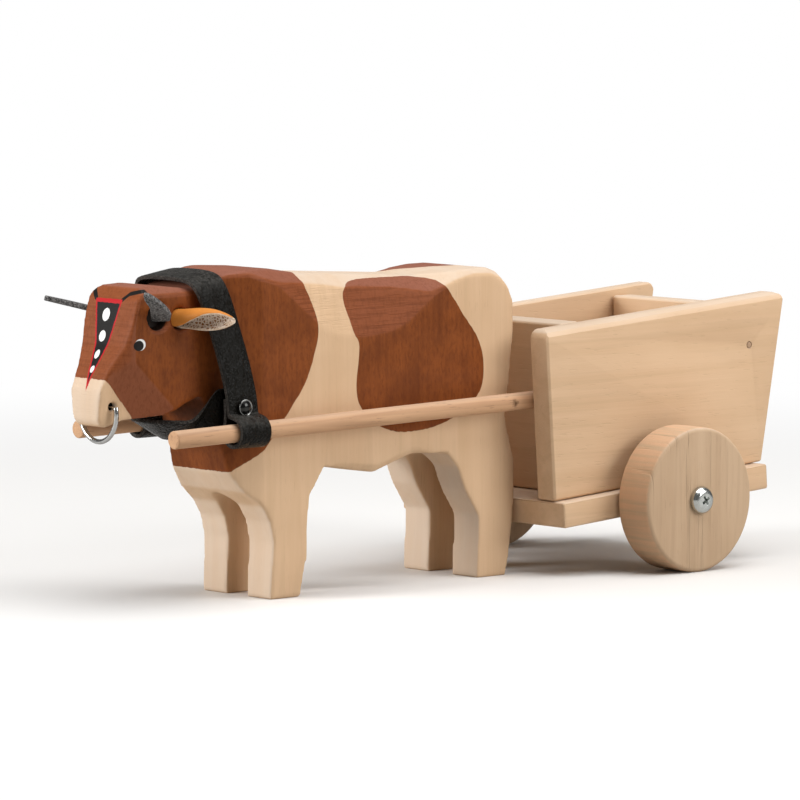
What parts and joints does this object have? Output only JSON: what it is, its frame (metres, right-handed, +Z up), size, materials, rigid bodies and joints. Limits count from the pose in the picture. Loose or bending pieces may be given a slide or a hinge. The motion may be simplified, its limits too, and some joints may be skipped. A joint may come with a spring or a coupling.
{
  "type": "toy bullock cart",
  "caption": "Wooden toy: a carved bullock in leather harness pulls a small tip cart with raked side panels, a hung tailboard and solid wheels.",
  "frame": {"origin": "on the floor, under the middle of the toy's length and width", "axes": "+X the way the bullock walks, +Y its left side, +Z up"},
  "size_m": [0.286, 0.1218, 0.1102],
  "materials": {
    "stained_wood": "pale carved hardwood with reddish-brown stain patches",
    "board_wood": "pale sanded maple board",
    "wheel_wood": "sawn and sanded beech disc",
    "dowel_wood": "plain beech dowel",
    "strap_leather": "black grained leather with a soft sheen",
    "horn_leather": "stiff dark leather",
    "ear_leather": "tan leather, flesh side inward",
    "ring_steel": "bright bent wire",
    "stud_steel": "dark domed press stud with a bright rim",
    "pin_steel": "small panel pin",
    "screw_steel": "zinc plated pan-head screw"
  },
  "bodies": {
    "bull": {"bullock": "stained_wood", "horn_left": "horn_leather", "horn_right": "horn_leather", "ear_left": "ear_leather", "ear_right": "ear_leather", "neck_strap": "strap_leather", "chest_strap": "strap_leather", "stud_left": "stud_steel", "stud_right": "stud_steel"},
    "cart": {"cart_floor": "board_wood", "panel_left": "board_wood", "panel_right": "board_wood", "headboard": "board_wood", "shaft_left": "dowel_wood", "shaft_right": "dowel_wood", "tailboard_pin_left": "pin_steel", "tailboard_pin_right": "pin_steel", "screw_left": "screw_steel", "screw_right": "screw_steel"},
    "wheel_left": {"wheel_left": "wheel_wood"},
    "wheel_right": {"wheel_right": "wheel_wood"},
    "tailboard": {"tailboard": "board_wood"},
    "nose_ring": {"nose_ring": "ring_steel"}
  },
  "joints": [
    {"name": "hitch_pitch", "type": "hinge", "parent": "bull", "child": "cart", "pos_m": [0.09478, 0, 0.05761], "axis": [0, 1, 0], "range_deg": [-2, 6]},
    {"name": "wheel_left_spin", "type": "hinge", "parent": "cart", "child": "wheel_left", "pos_m": [-0.08132, 0.0428, 0.025], "axis": [0, 1, 0], "continuous": true},
    {"name": "wheel_right_spin", "type": "hinge", "parent": "cart", "child": "wheel_right", "pos_m": [-0.08132, -0.0428, 0.025], "axis": [0, 1, 0], "continuous": true},
    {"name": "tailboard_swing", "type": "hinge", "parent": "cart", "child": "tailboard", "pos_m": [-0.12576, 0, 0.07472], "axis": [0, 1, 0], "continuous": true},
    {"name": "nose_ring_swing", "type": "hinge", "parent": "bull", "child": "nose_ring", "pos_m": [0.13726, 0, 0.06732], "axis": [0, 1, 0], "range_deg": [-110, 40]}
  ]
}
